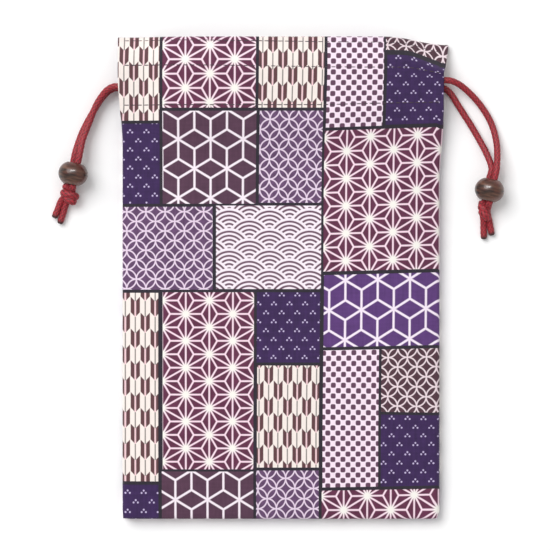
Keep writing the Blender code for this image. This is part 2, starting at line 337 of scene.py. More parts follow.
def thread_tone_and_weave_shade(surface, over):
    """Unevenness of woven cotton: streaks along both sets of threads and soft clouds, with painted shade from
    the weave itself, darker where threads pass under and lighter where they pass over.
    """
    warp = surface.mottling(STREAK_SCALE, 2.0, (1.0, STREAK_STRETCH, 1.0))
    weft = surface.mottling(STREAK_SCALE, 2.0, (STREAK_STRETCH, 1.0, 1.0))
    cloud = surface.mottling(CLOUD_SCALE)
    # over * 0.16 is painted shade from the weave's height; the streaks and clouds are the cotton's own uneven
    # colour
    return (warp + weft * 0.8 + cloud * 0.8 - 0.8 + over * 0.16).clamped()


def printed(name, ground, ink, pattern, variation=0.2, middle_ink=None, middles=None):
    """Printed cotton: a pattern in ink on its ground, a little uneven, with the weave showing through as
    bumps and as painted shade.
    """
    surface = Surface(name, CLOTH_ROUGHNESS, CLOTH_GLOSS, CLOTH_SHEEN)
    over = weave(surface)
    place = surface.coordinates("print")
    ground_colour, ink_colour = linear(ground), linear(ink)
    if middles:
        ink_colour = surface.blend(ink_colour, linear(middle_ink), middles(*place))
    darker, lighter = toned(ground_colour, 1 - variation), toned(ground_colour, 1 + variation)
    base = surface.blend(darker, lighter, thread_tone_and_weave_shade(surface, over))
    return surface.paint(surface.blend(base, ink_colour, pattern(*place)))


# The print's patterns, each in units of its own repeat, with the second coordinate pointing up

CRISP = 0.02
SOFT = 0.05
COLUMN = sqrt(3) / 2
HEMP_SPOKE = 0.033
HEMP_EDGE = 0.032
STAR_DOT = 0.085
STAR_GLOW, STAR_FADING = 0.17, 0.16
CUBE_LINE = 0.034
TREASURE_LINE = 0.037


def turned(u, v, angle):
    c, s = cos(angle), sin(angle)
    return u * c + v * s, v * c - u * s


def smallest(distances):
    first, *others = distances
    for other in others:
        first = first.smaller(other)
    return first


def spokes(u, v):
    """Distance to the lines from each point of a triangular lattice to the middles of its triangles."""
    distances = []
    for step in range(3):
        along, across = turned(u, v, step * pi / 3)
        row = (across * 2).math("ROUND")
        reach = (along - row.fold(2) * COLUMN).fold(2 * COLUMN)
        distances.append(abs(across - row * 0.5).larger(reach - 1 / sqrt(3)))
    return smallest(distances)


def edges(u, v):
    """Distance to the sides of a triangular lattice's triangles."""
    return smallest(turned(u, v, step * pi / 3)[0].fold(COLUMN) for step in range(3))


def from_star(u, v):
    """Distance to the nearest point where twelve lines of the hemp leaf meet."""
    column = (u * (1 / COLUMN)).math("ROUND")
    return length(u - column * COLUMN, (v - column.fold(2) * 0.5).fold(1))


def hemp_leaf(u, v):
    lines = spokes(u, v).within(HEMP_SPOKE, CRISP).larger(edges(u, v).within(HEMP_EDGE, CRISP))
    return lines.larger(from_star(u, v).within(STAR_DOT, SOFT))


def star_middles(u, v):
    """1 at the middle of each star, fading outwards."""
    return from_star(u, v).within(STAR_GLOW, STAR_FADING)


def cubes(u, v):
    return spokes(v, u).within(CUBE_LINE, CRISP)


def seven_treasures(u, v):
    """Interlocked circles, whose overlaps are petals."""
    first = length(u.fold(1) * -1 + 0.5, v.fold(1))
    second = length(u.fold(1), v.fold(1) * -1 + 0.5)
    return abs(first - 0.5).smaller(abs(second - 0.5)).within(TREASURE_LINE, CRISP)


SCALE_REACH = 1.1
SCALE_RING = 0.927
RING_STEP = 0.2035
RING_LINE, RING_EDGE = 0.047, 0.035


def waves(u, v):
    """Rows of scales, each drawn with rings inside a plain rim, where the lower scale covers the upper."""
    near = u.fold(2)
    scales = []
    for gap, offset in ((near, 0.0), (near * -1 + 1.0, 0.5)):
        root = (gap * gap * -1 + SCALE_REACH ** 2).larger(0.0).math("SQRT")
        level = (v - root - offset).math("CEIL") + offset
        scales.append((level, length(gap, v - level)))
    (level_a, radius_a), (level_b, radius_b) = scales
    radius = radius_b + (radius_a - radius_b) * level_a.math("LESS_THAN", level_b)
    ring = (radius - (SCALE_RING - 4 * RING_STEP)).fold(RING_STEP).within(RING_LINE, RING_EDGE)
    return ring * radius.within(SCALE_RING + RING_STEP / 2, CRISP)


FEATHER_SLANT, FEATHER_RISE = 0.32, 0.28
FEATHER_HALF = 0.245
BARB_MIDDLE, BARB_HALF = 0.275, 0.192
SHAFT_HALF = 0.075
QUILL_HALF = 0.06
FEATHER_GROUND_SHADE = 0.93


def feather_parts(u, v):
    """The arrow feathers: dark halves, the shaft in dark feathers, and the shaft in pale ones."""
    column = u.math("ROUND")
    side = abs(u - column)
    level = v - side * FEATHER_SLANT + column.fold(2) * 0.5 + 0.5
    cell = abs(level.math("FLOORED_MODULO", 1.0) - 0.5 + FEATHER_SLANT * FEATHER_RISE)
    inside = cell.within(FEATHER_HALF, CRISP)
    barb = abs(side - BARB_MIDDLE).within(BARB_HALF, SOFT)
    shaft = side.within(SHAFT_HALF, SOFT)
    return inside * barb, inside * shaft, (inside * -1 + 1.0) * side.within(QUILL_HALF, SOFT)


def shifted_rows(u, v, across, up):
    """The way to the nearest mark, across and up, where every other row is shifted by half a step."""
    row = v.math("ROUND")
    return (u - row.fold(2) * 0.5).fold(1) * across, (v - row) * up


# Marks in pixels: the repeat across and up, and the sizes and places in it
SQUARE_REPEAT = (10.4, 5.3)
SQUARE_HALF, SQUARE_EDGE = 2.55, 0.5
SQUARE_POWER = 3.5
DOTS_REPEAT = (15.9, 8.95)
DOT_RADIUS, DOT_EDGE = 0.86, 0.65
TOP_DOT_UP = 1.15
LOW_DOTS_OUT, LOW_DOTS_DOWN = 2.1, 1.05


def squares(u, v):
    """Small rounded squares."""
    across, up = shifted_rows(u, v, *SQUARE_REPEAT)
    corner = across.math("POWER", SQUARE_POWER) + abs(up).math("POWER", SQUARE_POWER)
    return corner.math("POWER", 1 / SQUARE_POWER).within(SQUARE_HALF, SQUARE_EDGE)


def three_dots(u, v):
    """One small dot above two."""
    across, up = shifted_rows(u, v, *DOTS_REPEAT)
    top = length(across, up - TOP_DOT_UP)
    low = length(across - LOW_DOTS_OUT, up + LOW_DOTS_DOWN)
    return top.smaller(low).within(DOT_RADIUS, DOT_EDGE)


def plain(u, v):
    return u.math("MULTIPLY", 0.0)


def feathered(name, ground, dark, pink, grey):
    """Arrow feathers in three inks on cream."""
    surface = Surface(name, CLOTH_ROUGHNESS, CLOTH_GLOSS, CLOTH_SHEEN)
    over = weave(surface)
    barb, shaft, quill = feather_parts(*surface.coordinates("print"))
    shaded = toned(linear(ground), FEATHER_GROUND_SHADE)
    base = surface.blend(shaded, linear(ground), thread_tone_and_weave_shade(surface, over))
    base = surface.blend(base, linear(grey), quill)
    base = surface.blend(base, linear(pink), shaft)
    return surface.paint(surface.blend(base, linear(dark), barb))


def print_materials():
    """The cloth's materials by the kind of field, with its wrong side last."""
    return {
        "border": printed("print_border", "#2d2832", "#2d2832", plain, 0.25),
        "hemp": printed("print_hemp_leaf", "#642e4a", "#fcdfed", hemp_leaf, 0.3, "#fcf8f2", star_middles),
        "cube": printed("print_cubes_brown", "#58394e", "#fbeff8", cubes),
        "violet": printed("print_cubes_violet", "#5d3a79", "#faecfb", cubes),
        "treasure": printed("print_treasures_purple", "#65476b", "#ead6ea", seven_treasures, 0.3),
        "russet": printed("print_treasures_brown", "#523540", "#eedce2", seven_treasures, 0.3),
        "wave": printed("print_waves", "#fbf0f9", "#69465c", waves, 0.04),
        "feather": feathered("print_feathers", "#fef2ec", "#623f44", "#f6ccd4", "#88827e"),
        "check": printed("print_squares", "#fbe7f6", "#64425a", squares, 0.04),
        "dots": printed("print_dots", "#3b2455", "#d0c0e6", three_dots, 0.28),
        "wrong": printed("cloth_wrong_side", "#cdbfce", "#cdbfce", plain, 0.1),
    }


# The print's fields as the photograph shows them, in its pixels: kind, left, right, top, bottom, a point of
# the pattern's own lattice, and its repeat across and down. Fields at an edge run on past it.

OUT_LEFT, OUT_RIGHT, OUT_TOP, OUT_FOOT = 95.0, 470.0, -45.0, 545.0
FACE_TOP_PX, FACE_FOOT_PX = 40, 518
FIELDS = [
    ("feather", OUT_LEFT, 160, OUT_TOP, 121, 124.3, 56, 9.9, 31.6),
    ("hemp", 163.2, 256, OUT_TOP, 108.4, 210.3, 46.1, 27.8, 28.6),
    ("feather", 259, 324, OUT_TOP, 108.6, 262.9, 59.8, 9.72, 32.6),
    ("check", 327, 383, OUT_TOP, 128.3, 333.4, 40.7, 10.4, 5.4),
    ("russet", 386, OUT_RIGHT, OUT_TOP, 51, 405.8, 46, 18.6, 18.6),
    ("dots", 386, OUT_RIGHT, 56, 127.5, 397.7, 58.2, 15.9, 9.05),
    ("dots", OUT_LEFT, 160.2, 124, 204, 130.4, 131.6, 16.5, 9.04),
    ("cube", 163, 256, 111.6, 204, 210.9, 139.6, 32.1, 33.8),
    ("treasure", 259.2, 322.2, 111.6, 203, 270.1, 120.1, 18.7, 19.8),
    ("treasure", OUT_LEFT, 212.8, 207, 289.6, 136.7, 221.5, 19.2, 19.2),
    ("wave", 216.2, 320.6, 205.8, 289, 229.4, 210.3, 20.05, 20.02),
    ("hemp", 323.8, OUT_RIGHT, 131.4, 271.6, 370.3, 136.9, 27.1, 27.3),
    ("violet", 323.6, OUT_RIGHT, 275.2, 347, 361.1, 309.7, 32.2, 34.2),
    ("feather", OUT_LEFT, 158.6, 292.8, 481, 125.7, 385.6, 9.95, 31.7),
    ("hemp", 163.0, 254, 292.4, 468.8, 209.6, 300.4, 27.2, 26.8),
    ("dots", 257, 319.8, 292.2, 362.2, 266.2, 294.4, 15.6, 8.9),
    ("feather", 257, 319, 365.2, 467, 259.2, 389.8, 9.6, 31.9),
    ("check", 322.2, 378, 350.2, 487, 328.4, 358.2, 10.05, 5.3),
    ("russet", 381, OUT_RIGHT, 350, 410, 387.8, 357.3, 19.2, 18.3),
    ("dots", 381, OUT_RIGHT, 412.8, 487, 391.3, 417.2, 15.9, 9.38),
    ("dots", OUT_LEFT, 158.6, 484.4, OUT_FOOT, 127.9, 491.5, 16, 9.6),
    ("cube", 162, 253.6, 471, OUT_FOOT, 207.6, 499.3, 32.2, 34),
    ("treasure", 256.4, 318.6, 470, OUT_FOOT, 267.2, 477.8, 18.7, 20.4),
    ("hemp", 321.6, OUT_RIGHT, 490.2, OUT_FOOT, 343.6, 509.4, 27.1, 27.3),
]

# The right of the print leans: how far it is moved across, in pixels, at heights of the photograph
LEAN = [(40, 3.4), (75, 3.0), (150, 0.8), (205, 0.1), (300, -0.3), (380, -1.2), (430, -1.7), (520, -1.7)]
LEAN_FROM_PX, LEAN_OVER_PX = 180.0, 140.0


def at_height(table, py, shape=float):
    """A table's value between its rows, in a straight line unless another shape is given."""
    for (y0, d0), (y1, d1) in zip(table, table[1:]):
        if py <= y1:
            return mix(d0, d1, shape(max(py - y0, 0) / (y1 - y0)))
    return table[-1][1]


def lean(px, py):
    """How far the print is moved to the right at a place in the photograph, in pixels."""
    return ease((px - LEAN_FROM_PX) / LEAN_OVER_PX) * at_height(LEAN, py)


# The right half of the print also climbs or sinks towards the side, at heights of the photograph, in pixels
CLIMB = [(54, 0), (128, 4.2), (200, 3.6), (272, 3.0), (348, 2.2), (411, -2.6), (450, 0.5), (489, 1.8),
         (530, 2.2)]
CLIMB_FROM_PX, CLIMB_OVER_PX = 324.0, 116.0


def climb(px, py):
    """How far the print is moved up at a place in the photograph, in pixels."""
    return min(max((px - CLIMB_FROM_PX) / CLIMB_OVER_PX, 0), 1) * at_height(CLIMB, py, ease)


def unleaned_fields():
    """The fields on the flat cloth, before it leans and climbs."""
    flat = []
    for kind, left, right, top, foot, px, py, across, down in FIELDS:
        middle = (max(top, FACE_TOP_PX) + min(foot, FACE_FOOT_PX)) / 2
        left, right = (edge - lean(edge, middle) for edge in (left, right))
        flat.append((kind, left, right, top, foot, px - lean(px, py), py + climb(px, py), across, down))
    return flat


def px_to_mm(px, py):
    return (px - MIDDLE_PX) * PIXEL_MM, (MIDDLE_PY - py) * PIXEL_MM


def mm_to_px(x, y):
    return MIDDLE_PX + x / PIXEL_MM, MIDDLE_PY - y / PIXEL_MM


# The cloth's shape


def mouth_share(x):
    return ease(1 - min(abs(x) / MOUTH_RUN_OUT, 1) ** MOUTH_BREADTH)


def front_hem_top(x):
    return HEM_THICKNESS + mix(SLIT_HEIGHT, MOUTH_HEIGHT, mouth_share(x))


def front_lip_top(x):
    return CLOTH + LAYER_STEP + mix(LIP_END_HEIGHT, MOUTH_HEIGHT, mouth_share(x))


def front_top(x, y):
    """Height of the front's outer face over the flat part of the bag."""
    across = 1 - min(abs(x) / FLAT_HALF, 1) ** CROWN_BREADTH
    along = 1 - min(max(-y, 0) / -FLAT_FOOT, 1) ** CROWN_BREADTH
    body = mix(SIDE_RISE, CROWN_RISE, across * along)
    if y <= UPPER_STITCH:
        return mix(body, front_hem_top(x), ease((y - HEM_END + HEM_RISE_LENGTH) / HEM_RISE_LENGTH))
    return mix(front_hem_top(x), front_lip_top(x), ease((y - UPPER_STITCH) / FRILL))


def channel_bulge(y):
    """How far the hem's two layers stand apart at y, more than where they are stitched."""
    share = ease((y - LOWER_STITCH) / CHANNEL_RAMP) * ease((UPPER_STITCH - y) / CHANNEL_RAMP)
    return (CHANNEL_ROOM - STITCHED_GAP) * share


STITCH_DROP = 1.2
STITCH_DROP_FROM_X = -60.0
STITCH_DROP_WIDTH = 110.0
STITCH_GROOVE, GROOVE_WIDTH = 0.22, 1.8
PUCKER, PUCKER_LENGTH, PUCKER_WIDTH = 0.13, 3.4, 6.0
SIDE_PUCKER, SIDE_PUCKER_LENGTH, SIDE_PUCKER_WIDTH = 0.12, 4.5, 7
SOFT_RELIEF, SOFT_LENGTH = 0.3, 34
FINE_SHARE = 0.3
CORNER_RIPPLE, RIPPLE_WIDTH = 1.0, 6.5
DRAPE_DEPTH = 6.4
DRAPE_FROM_X = 56.0
DRAPE_WIDTH = 23.0
DRAPE_LINE = 106.7
DRAPE_END = 92.5
RIPPLE_LINE = (DRAPE_LINE + DRAPE_END) / 2 + 1.5
CLIMB_START = 8
FOLD_SHARE = 0.6


def stitch_y(line, x):
    """Where a line of stitching runs: the upper ones sink a little towards the right."""
    return line - (line > LOWER_STITCH) * STITCH_DROP * ease((x - STITCH_DROP_FROM_X) / STITCH_DROP_WIDTH)


def relief(x, y):
    """Soft unevenness, grooves and puckers at the stitching and sides, and the right corner's ripple."""
    height = SOFT_RELIEF * noise.noise(Vector((x / SOFT_LENGTH, y / SOFT_LENGTH, 3.1)))
    height += FINE_SHARE * SOFT_RELIEF * noise.noise(Vector((x / 11, y / 15, 8.7)))
    for line in (UPPER_STITCH, LOWER_STITCH, EDGE_STITCH):
        off_line = y - stitch_y(line, x)
        height -= STITCH_GROOVE * hump(off_line, GROOVE_WIDTH)
        ripple = noise.noise(Vector((x / PUCKER_LENGTH, line, y / 30)))
        height += PUCKER * ripple * hump(off_line, PUCKER_WIDTH)
    edge = ease((abs(x) - (FLAT_HALF - SIDE_PUCKER_WIDTH)) / SIDE_PUCKER_WIDTH) * (y < SLIT_FOOT)
    height += SIDE_PUCKER * edge * noise.noise(Vector((x / 30, y / SIDE_PUCKER_LENGTH, 5.0)))
    corner = ease((x - DRAPE_FROM_X) / DRAPE_WIDTH)
    return height + CORNER_RIPPLE * corner * hump(y - RIPPLE_LINE, RIPPLE_WIDTH)


def side_flare(side, y):
    """How far the side stands out past its straight edge on the way up to the slit and the top corner."""
    low, high = WIDENING[side]
    widening = ease((y - low) / (high - low))
    return FLAP_FLARE[side] * widening + CORNER_FLARE[side] * ease((y - UPPER_STITCH) / FRILL)


class Panel:
    """One cloth panel as a grid: where each crossing lies in space, in millimetres, and on the print."""

    def __init__(self, facing):
        self.facing = facing
        fields = unleaned_fields()
        across = [px_to_mm(edge, 0)[0] for field in fields for edge in field[1:3]]
        along = [px_to_mm(0, edge)[1] for field in fields for edge in field[3:5]]
        self.columns = self.spread([-FLAT_HALF, -NOTCH_X, NOTCH_X, FLAT_HALF], across)
        outside = self.spread([FLAT_FOOT, SLIT_FOOT, HEM_END, LOWER_STITCH, LOWER_STITCH + CHANNEL_RAMP,
                               UPPER_STITCH - CHANNEL_RAMP, UPPER_STITCH, TOP_FOLD - LAYER_STEP / 2], along)
        hem = [y for y in outside if y >= HEM_END]
        self.rows = [(y, "outer") for y in outside] + [(TOP_FOLD, "edge")]
        self.rows += [(y, "inner") for y in hem[::-1]]
        self.last = len(self.columns) - 1
        self.slit_row = self.rows.index((SLIT_FOOT, "outer"))
        self.frill_end = self.rows.index((UPPER_STITCH, "inner"))
        self.flap_steps = FOLD_STEPS // 2
        self.reach_steps = FOLD_STEPS + ALLOWANCE_STEPS

    @staticmethod
    def spread(fixed, extra):
        """Lines through the fixed places and the print's edges, with no gap wider than a cell."""
        low, high = fixed[0], fixed[-1]
        lines = sorted(fixed)
        for place in sorted(extra):
            if low < place < high and all(abs(place - line) > CLOSEST_LINES for line in lines):
                lines.append(place)
        lines.sort()
        full = []
        for here, there in zip(lines, lines[1:]):
            pieces = max(1, ceil((there - here) / CELL))
            full += [mix(here, there, piece / pieces) for piece in range(pieces)]
        return full + [high]

    def outer(self, x, y):
        if self.facing < 0:
            return CLOTH / 2
        return front_top(x, y) - CLOTH / 2 + relief(x, y)

    def height(self, x, y, layer):
        if layer == "edge":
            return self.outer(x, TOP) - self.facing * LAYER_STEP / 2
        high = self.outer(x, y)
        return high if layer == "outer" else high - self.facing * (LAYER_STEP + channel_bulge(y))

    def fold(self, x, y, step):
        """Reach past the flat part, height and cloth used, so many steps round a seam's fold."""
        turn = pi * min(step / FOLD_STEPS, 1.0)
        high = self.outer(x, y)
        low = SEAM_HEIGHT + self.facing * (CLOTH + GAP) / 2
        used = FOLD_CLOTH * turn / pi
        tail = SEAM_ALLOWANCE * max(step - FOLD_STEPS, 0) / ALLOWANCE_STEPS
        return FOLD_OUT * sin(turn) - tail, mix(high, low, (1 - cos(turn)) / 2), used + tail

    def shift(self, x, y):
        """The lean of the print, in millimetres."""
        return lean(*mm_to_px(x, y)) * PIXEL_MM

    @staticmethod
    def mitre(distance, tail):
        """How far an allowance's line is drawn in beside a corner, where two allowances meet at a slant."""
        return tail * max(0.0, 1 - distance / MITRE_REACH)

    def settle(self, x, y):
        """Height up the bag once the print's climb and the sagging right corner have moved it."""
        px, py = mm_to_px(x, y)
        inner = ease((FLAT_HALF + 2 - abs(x)) / 2) if y < DRAPE_END else 1.0
        share = ease((y - FLAT_FOOT) / CLIMB_START) * min(1, inner + FOLD_SHARE)
        climbed = y + climb(px, py) * PIXEL_MM * share
        across = ease((x - DRAPE_FROM_X) / DRAPE_WIDTH)
        if y < DRAPE_LINE:
            return climbed - DRAPE_DEPTH * across * ease((y - DRAPE_END) / (DRAPE_LINE - DRAPE_END))
        edge = CORNER_DROOP * ease((x - (HALF + FLAP_FLARE[1] - CORNER_WIDTH)) / CORNER_WIDTH)
        up = (y - DRAPE_LINE) / (TOP - DRAPE_LINE)
        return climbed - mix(DRAPE_DEPTH * across, edge, up)

    def row_cloth(self, row):
        """Distance up the cloth, which goes on past the top edge into the hem."""
        y, layer = self.rows[row]
        return y if layer == "outer" else 2 * TOP - y

    def point(self, column, row):
        """The place in space and the place on the cloth of one crossing."""
        past = max(-column, column - self.last, 0)
        below = max(-row, 0)
        side = -1 if column <= 0 else 1
        if below and not past:
            x = self.columns[column]
            reach, high, used = self.fold(x, FLAT_FOOT, below)
            drawn = self.mitre(FLAT_HALF - abs(x), max(-reach, 0)) * copysign(1, x)
            return (x + self.shift(x, FLAT_FOOT) - drawn, FLAT_FOOT - reach, high), (x, FLAT_FOOT - used)
        y, layer = self.rows[row]
        cloth_y = self.row_cloth(row)
        if not past:
            x = self.columns[column]
            return (x + self.shift(x, y), self.settle(x, y), self.height(x, y, layer)), (x, cloth_y)
        flat_x = side * FLAT_HALF
        reach, low, used = self.fold(flat_x, y, past)
        moved = self.shift(flat_x, y)
        if row == 0:
            tucked = reach * CORNER_TUCK if reach > 0 else reach
            x = flat_x + moved + side * tucked
            return (x, FLAT_FOOT - tucked, low), (flat_x + side * used, y - used)
        share = ease((y - SLIT_FOOT) / SLIT_RUN_OUT) if layer == "outer" else 1.0
        part_way = past / self.flap_steps
        outward = side_flare(side, y) - side * moved
        spread = (FOLD_REACH + outward) * part_way
        x = flat_x + moved + side * mix(reach + outward * min(part_way, 1), spread, share)
        z = mix(low, self.height(x - moved, y, layer), share)
        drawn = self.mitre(y - FLAT_FOOT, max(-reach, 0))
        return (x, self.settle(x, y) + drawn, z), (flat_x + side * mix(used, spread, share), cloth_y)

    def present(self, column, row):
        """Whether there is cloth between this column and the next, and this row and the next."""
        past = max(-column, column + 1 - self.last, 0)
        if row < 0:
            return past == 0
        if past > self.flap_steps:
            return row < self.slit_row
        if past:
            return row < self.frill_end
        x = abs(self.columns[column] + self.columns[column + 1]) / 2
        return row < self.frill_end or x < NOTCH_X

    def key(self, column, row):
        """The name of a crossing: at a corner the side's and the foot's allowances share theirs."""
        if column in (0, self.last) and row < 0:
            column, row = (row, 0) if column == 0 else (self.last - row, 0)
        return column, row


def field_at(px, py, fields):
    """The kind of the field at a place in the photograph, with the place and size of its repeat."""
    for kind, left, right, top, foot, *repeat in fields:
        if left < px < right and top < py < foot:
            return kind, repeat
    return "border", (0, 0, 1, 1)


def make_cloth(name, facing, cloths):
    """The whole sheet of one panel, its faces given to the print's fields, then made as thick as cloth."""
    panel = Panel(facing)
    fields = unleaned_fields()
    kinds = list(cloths)
    mesh = bmesh.new()
    print_layer = mesh.loops.layers.uv.new("print")
    cloth_layer = mesh.loops.layers.uv.new("cloth")
    known = {}
    for column in range(-panel.reach_steps, panel.last + panel.reach_steps):
        for row in range(-panel.reach_steps, len(panel.rows) - 1):
            if not panel.present(column, row):
                continue
            keys = [panel.key(*corner) for corner in
                    ((column, row), (column + 1, row), (column + 1, row + 1), (column, row + 1))]
            for key in keys:
                if key not in known:
                    place, on_cloth = panel.point(*key)
                    known[key] = mesh.verts.new(to_world(place)), on_cloth
            order = keys if facing > 0 else keys[::-1]
            face = mesh.faces.new([known[key][0] for key in order])
            spots = [mm_to_px(*known[key][1]) for key in order]
            if facing < 0:
                spots = [(2 * MIDDLE_PX - px, py) for px, py in spots]
            px, py = (sum(values) / 4 for values in zip(*spots))
            kind, (start_x, start_y, across, down) = field_at(px, py, fields)
            face.material_index = kinds.index(kind)
            for loop, key, spot in zip(face.loops, order, spots):
                loop[cloth_layer].uv = known[key][1]
                loop[print_layer].uv = ((spot[0] - start_x) / across, (start_y - spot[1]) / down)
            face.smooth = True
    sheet = add_mesh(name, mesh, cloths.values())
    thickness = sheet.modifiers.new("cloth thickness", "SOLIDIFY")
    thickness.thickness = CLOTH * MM
    thickness.offset = 0.0
    thickness.use_even_offset = True
    thickness.material_offset = len(kinds) - 1
    return sheet


# Cords

# Points of each free strand, from its slit to its bead, in millimetres
FREE_FRONT = {
    -1: [(-73.2, 89.7, 7.8), (-78.3, 90.6, 7.6), (-81.9, 89.2, 6.6), (-84.8, 86.1, 5.6), (-87.2, 82.3, 5.1),
         (-89.0, 78.4, 5.0), (-90.5, 74.3, 5.0), (-92.2, 70.0, 5.4), (-93.8, 65.4, 6.6)],
    1: [(79.3, 93.4, 7.2), (84.0, 91.8, 5.6), (89.0, 88.0, 3.6), (93.6, 83.2, 2.2), (97.4, 77.9, 1.7),
        (100.2, 72.2, 1.8), (101.8, 66.3, 2.8), (102.4, 60.4, 4.9)],
}
FREE_BACK = {
    -1: [(-71.2, 87.1, 2.4), (-74.8, 89.2, 2.4), (-78.3, 90.0, 2.3), (-81.8, 88.6, 1.9), (-84.8, 85.5, 1.7),
         (-87.3, 81.8, 1.7), (-89.8, 77.6, 1.7), (-92.2, 73.3, 1.9), (-94.3, 68.9, 2.6), (-95.9, 64.3, 4.1)],
    1: [(76.6, 90.1, 2.3), (80.4, 87.5, 1.9), (83.6, 82.6, 1.7), (87.3, 76.8, 1.7), (91.0, 70.9, 1.7),
        (94.3, 65.1, 2.1), (97.2, 59.4, 3.6)],
}

# How many points describe a strand's route, then the distance between the points of a route and how many
# points go round it, where the cord shows and where it is hidden
PATH_POINTS = 36
CORD_STEP, CORD_AROUND = 0.4, 24
RUN_STEP, RUN_AROUND = 0.9, 14
SLIT_TURN_PARTS = 6

# Both beads lie the same way: along the hole, away from the knot, and across it to the right
AXIS = Vector((sin(radians(BEAD_TURN)), cos(radians(BEAD_TURN)), 0))
ACROSS = Vector((AXIS.y, -AXIS.x, 0))


def bead_point(side, along, strand):
    """A place on one strand's middle line, inside the bead or near it."""
    roll = radians(PAIR_ROLL)
    offset = ACROSS * cos(roll) + Vector((0, 0, sin(roll)))
    middle = Vector((*BEAD_PLACE[side], BEAD_WIDTH / 2))
    return middle + AXIS * along + offset * (strand * PAIR_PITCH / 2)


def front_cord_height(x):
    return front_hem_top(x) - CLOTH - CHANNEL_ROOM / 2


def channel_points(side):
    """The cord inside the front channel, round the far slit, and back through the back channel."""
    front_y, back_y = FRONT_CORD_Y[side], BACK_CORD_Y[side]
    far = -side
    bend_x = far * (NOTCH_X + TURN_START)
    spread = [quarter / 4 * (NOTCH_X + TURN_START) for quarter in range(-4, 5)]
    front = [Vector((far * x, front_y, front_cord_height(x))) for x in spread]
    high = Vector((bend_x, front_y, front_cord_height(bend_x)))
    low = Vector((bend_x, back_y, BACK_CORD_HEIGHT))
    middle, arm = (high + low) / 2, (high - low) / 2
    turn = []
    for step in range(1, SLIT_TURN_PARTS):
        angle = pi * step / SLIT_TURN_PARTS
        turn.append(middle + arm * cos(angle) + Vector((far * arm.length * sin(angle), 0, 0)))
    back = [Vector((far * x, back_y, BACK_CORD_HEIGHT)) for x in reversed(spread)]
    return front + turn + back


def smooth_route(points, step):
    """Points a step apart on a smooth curve through the given ones."""
    points = [Vector(point) for point in points]
    spots = [points[0] * 2 - points[1]] + points + [points[-1] * 2 - points[-2]]
    route = []
    for before, here, there, after in zip(spots, spots[1:], spots[2:], spots[3:]):
        span = (there - here).length
        pieces = max(1, round(span / step))
        leave = (there - before).normalized() * span
        arrive = (after - here).normalized() * span
        for piece in range(pieces):
            t = piece / pieces
            a, b = 2 * t ** 3 - 3 * t ** 2 + 1, t ** 3 - 2 * t ** 2 + t
            c, d = -2 * t ** 3 + 3 * t ** 2, t ** 3 - t ** 2
            route.append(here * a + leave * b + there * c + arrive * d)
    return route + [points[-1]]


def route_length(route):
    return sum((b - a).length for a, b in zip(route, route[1:]))


BRAID_STRANDS = 6
BRAID_PITCH = 2.3
BRAID_DEPTH = 0.24
BRAID_CRISPNESS = 4
CHAR_REACH, CHAR_FADING = 2.2, 1.8
CHAR_SHRINK, CHAR_MELT = 0.06, 0.7
END_SIZE, END_ROUNDING = 0.35, 0.9


def braid_height(angle, along):
    """Height of a braid's surface, 0 to 1, where two sets of strands pass over and under each other."""
    turn = BRAID_STRANDS * angle / (2 * pi)
    first, second = turn + along / BRAID_PITCH, turn - along / BRAID_PITCH
    over = tanh(BRAID_CRISPNESS * sin(pi * first) * sin(pi * second))
    ridge_first, ridge_second = (1 - (2 * (turns % 1) - 1) ** 2 for turns in (first, second))
    return mix(ridge_second, ridge_first, 0.5 + 0.5 * over)


def braided_cord(name, route, material, around=CORD_AROUND, melted_end=False, width=CORD, joined=False):
    """A round braided cord along a route, closed at both ends, with its relief kept for the material, which
    paints shade between the strands from it.

    Its ends are rounded, but not the first one where it is joined to another piece of the same cord.
    """
    mesh = bmesh.new()
    relief_layer = mesh.verts.layers.float.new("relief")
    char_layer = mesh.verts.layers.float.new("char")
    side = Vector((0, 0, 1))
    rings = []
    travelled = 0.0
    total = route_length(route)
    for number, place in enumerate(route):
        ahead = (route[min(number + 1, len(route) - 1)] - route[max(number - 1, 0)]).normalized()
        if number:
            travelled += (place - route[number - 1]).length
        side = (side - ahead * side.dot(ahead)).normalized()
        other = ahead.cross(side)
        left = total - travelled
        char = ease((CHAR_REACH - left) / CHAR_FADING) if melted_end else 0.0
        to_cut = left if joined else min(travelled, left)
        narrow = sqrt(min(1.0, END_SIZE + to_cut / END_ROUNDING))
        ring = []
        for step in range(around):
            angle = 2 * pi * step / around
            height = braid_height(angle, travelled)
            sunk = BRAID_DEPTH * (1 - height) * (1 - CHAR_MELT * char)
            radius = width / 2 * narrow * (1 - CHAR_SHRINK * char) - sunk
            offset = (side * cos(angle) + other * sin(angle)) * radius
            vert = mesh.verts.new(to_world(place + offset))
            # The braid's height, which the material turns into painted shade between the strands
            vert[relief_layer] = height
            vert[char_layer] = char
            ring.append(vert)
        rings.append(ring)
    add_tube(mesh, rings)
    bmesh.ops.recalc_face_normals(mesh, faces=mesh.faces)
    return add_mesh(name, mesh, [material])


FIBRE_SCALE, FIBRE_DEPTH, FIBRE_STRENGTH = 1300.0, 0.0001, 0.4


def cord_material():
    """Red braided cord: painted shade makes it darker between the strands and lighter on them, with the
    fibres' own mottling, charred at a melted end.
    """
    surface = Surface("red_braid", 0.62, gloss=0.35, sheen=0.1)
    fibre = surface.mottling(FIBRE_SCALE)
    # Painted shade: the braid's height darkens the red between the strands; the fibre noise adds the cord's
    # own uneven colour
    crevice_shade_and_fibre = (surface.stored("relief") * 1.5 + fibre * 1.7 - 1.25).clamped()
    red = surface.blend(linear("#4d050c"), linear("#b12533"), crevice_shade_and_fibre)
    surface.bump(fibre, FIBRE_DEPTH, FIBRE_STRENGTH)
    return surface.paint(surface.blend(red, linear("#3a1a1c"), surface.stored("char")))


